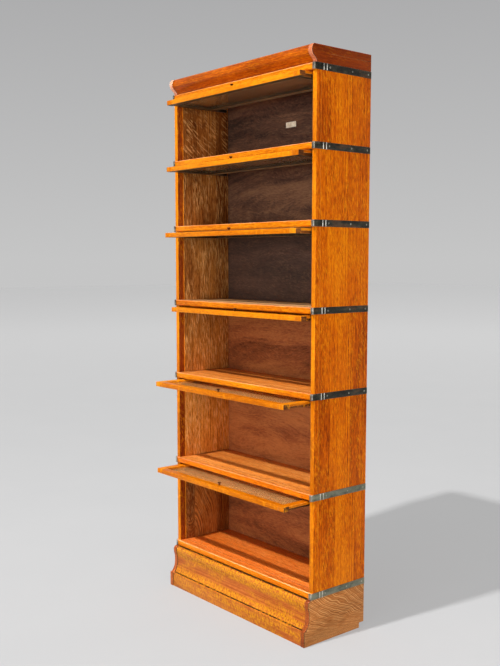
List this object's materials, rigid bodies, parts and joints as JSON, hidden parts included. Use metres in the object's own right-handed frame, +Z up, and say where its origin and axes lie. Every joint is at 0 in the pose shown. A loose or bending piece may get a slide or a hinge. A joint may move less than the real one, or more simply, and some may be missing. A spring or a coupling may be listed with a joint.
{
  "type": "barrister bookcase",
  "caption": "Tall stacking oak bookcase of separate units with up-and-over sliding glass doors, steel bands, a moulded cornice and an ogee base.",
  "frame": {"origin": "on the floor, under the middle of the outline with the doors lying open as at rest", "axes": "+Z up, +X to the right of someone facing the doors, -Y towards that person"},
  "size_m": [0.869, 0.405, 2.1853],
  "materials": {
    "oak_case": "satin varnish over amber stained oak",
    "oak_base": "satin varnish, strong ray figure",
    "oak_cornice": "satin varnish, red brown",
    "oak_dark": "dull old varnish",
    "band_steel": "oxidised, worn",
    "runner_steel": "dull",
    "glass": "clear"
  },
  "bodies": {
    "case": {"base_frame": "oak_base", "base_front": "oak_base", "unit_1_end_right": "oak_case", "unit_1_end_left": "oak_case", "unit_1_shelf": "oak_case", "unit_1_back": "oak_dark", "band_1_right": "band_steel", "band_1_left": "band_steel", "unit_2_end_right": "oak_case", "unit_2_end_left": "oak_case", "unit_2_shelf": "oak_case", "unit_2_back": "oak_dark", "band_2_right": "band_steel", "band_2_left": "band_steel", "unit_3_end_right": "oak_case", "unit_3_end_left": "oak_case", "unit_3_shelf": "oak_case", "unit_3_back": "oak_dark", "band_3_right": "band_steel", "band_3_left": "band_steel", "unit_4_end_right": "oak_case", "unit_4_end_left": "oak_case", "unit_4_shelf": "oak_case", "unit_4_back": "oak_dark", "band_4_right": "band_steel", "band_4_left": "band_steel", "unit_5_end_right": "oak_case", "unit_5_end_left": "oak_case", "unit_5_shelf": "oak_case", "unit_5_back": "oak_dark", "band_5_right": "band_steel", "band_5_left": "band_steel", "unit_6_end_right": "oak_case", "unit_6_end_left": "oak_case", "unit_6_shelf": "oak_case", "unit_6_back": "oak_dark", "band_6_right": "band_steel", "band_6_left": "band_steel", "band_7_right": "band_steel", "band_7_left": "band_steel", "cornice_case": "oak_cornice", "cornice_front": "oak_cornice"},
    "carrier_1": {"unit_1_door_carrier": "runner_steel"},
    "door_1": {"unit_1_door_frame": "oak_case", "unit_1_door_glass": "glass"},
    "carrier_2": {"unit_2_door_carrier": "runner_steel"},
    "door_2": {"unit_2_door_frame": "oak_case", "unit_2_door_glass": "glass"},
    "carrier_3": {"unit_3_door_carrier": "runner_steel"},
    "door_3": {"unit_3_door_frame": "oak_case", "unit_3_door_glass": "glass"},
    "carrier_4": {"unit_4_door_carrier": "runner_steel"},
    "door_4": {"unit_4_door_frame": "oak_case", "unit_4_door_glass": "glass"},
    "carrier_5": {"unit_5_door_carrier": "runner_steel"},
    "door_5": {"unit_5_door_frame": "oak_case", "unit_5_door_glass": "glass"},
    "carrier_6": {"unit_6_door_carrier": "runner_steel"},
    "door_6": {"unit_6_door_frame": "oak_case", "unit_6_door_glass": "glass"}
  },
  "joints": [
    {"name": "door_1_slide", "type": "slide", "parent": "case", "child": "carrier_1", "axis": [0, -1, 0], "range_m": [-0.0365, 0.1975]},
    {"name": "door_1_tilt", "type": "hinge", "parent": "carrier_1", "child": "door_1", "pos_m": [0, 0.133, 0.5345], "axis": [1, 0, 0], "range_deg": [0, 90]},
    {"name": "door_2_slide", "type": "slide", "parent": "case", "child": "carrier_2", "axis": [0, -1, 0], "range_m": [-0.0395, 0.1945]},
    {"name": "door_2_tilt", "type": "hinge", "parent": "carrier_2", "child": "door_2", "pos_m": [0, 0.13, 0.9095], "axis": [1, 0, 0], "range_deg": [0, 90]},
    {"name": "door_3_slide", "type": "slide", "parent": "case", "child": "carrier_3", "axis": [0, -1, 0], "range_m": [-0.007, 0.2175]},
    {"name": "door_3_tilt", "type": "hinge", "parent": "carrier_3", "child": "door_3", "pos_m": [0, 0.153, 1.2235], "axis": [1, 0, 0], "range_deg": [0, 90]},
    {"name": "door_4_slide", "type": "slide", "parent": "case", "child": "carrier_4", "axis": [0, -1, 0], "range_m": [-0.036, 0.1885]},
    {"name": "door_4_tilt", "type": "hinge", "parent": "carrier_4", "child": "door_4", "pos_m": [0, 0.124, 1.5375], "axis": [1, 0, 0], "range_deg": [0, 90]},
    {"name": "door_5_slide", "type": "slide", "parent": "case", "child": "carrier_5", "axis": [0, -1, 0], "range_m": [-0.026, 0.1575]},
    {"name": "door_5_tilt", "type": "hinge", "parent": "carrier_5", "child": "door_5", "pos_m": [0, 0.093, 1.8105], "axis": [1, 0, 0], "range_deg": [0, 90]},
    {"name": "door_6_slide", "type": "slide", "parent": "case", "child": "carrier_6", "axis": [0, -1, 0], "range_m": [-0.021, 0.1625]},
    {"name": "door_6_tilt", "type": "hinge", "parent": "carrier_6", "child": "door_6", "pos_m": [0, 0.098, 2.0835], "axis": [1, 0, 0], "range_deg": [0, 90]}
  ]
}
